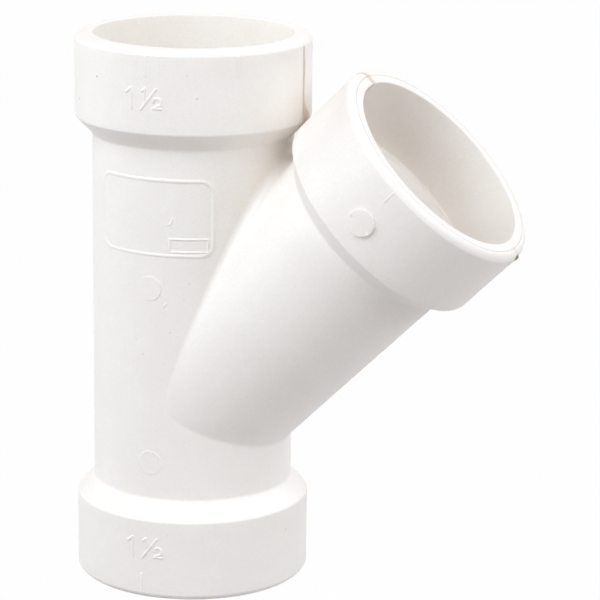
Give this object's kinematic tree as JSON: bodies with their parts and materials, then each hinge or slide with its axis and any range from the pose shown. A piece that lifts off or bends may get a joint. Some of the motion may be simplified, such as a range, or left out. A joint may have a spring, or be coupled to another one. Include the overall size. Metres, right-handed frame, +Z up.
{
  "type": "pvc wye",
  "caption": "White moulded drain wye: a straight run with a pipe socket at each end and a socketed branch that leaves it at an angle.",
  "frame": {"origin": "on the run's centre line, in the plane of the lower rim", "axes": "+Z up the run, from its lower socket to its upper one; the branch leans from +Z towards +X; the mould's parting plane is y = 0, and the raised marks face -Y"},
  "size_m": [0.1114, 0.0579, 0.135],
  "materials": {
    "pvc": "satin white rigid PVC as it leaves the mould, with a faint warm tone and fine mottling"
  },
  "bodies": {
    "root": {"wye_fitting": "pvc"}
  },
  "joints": []
}
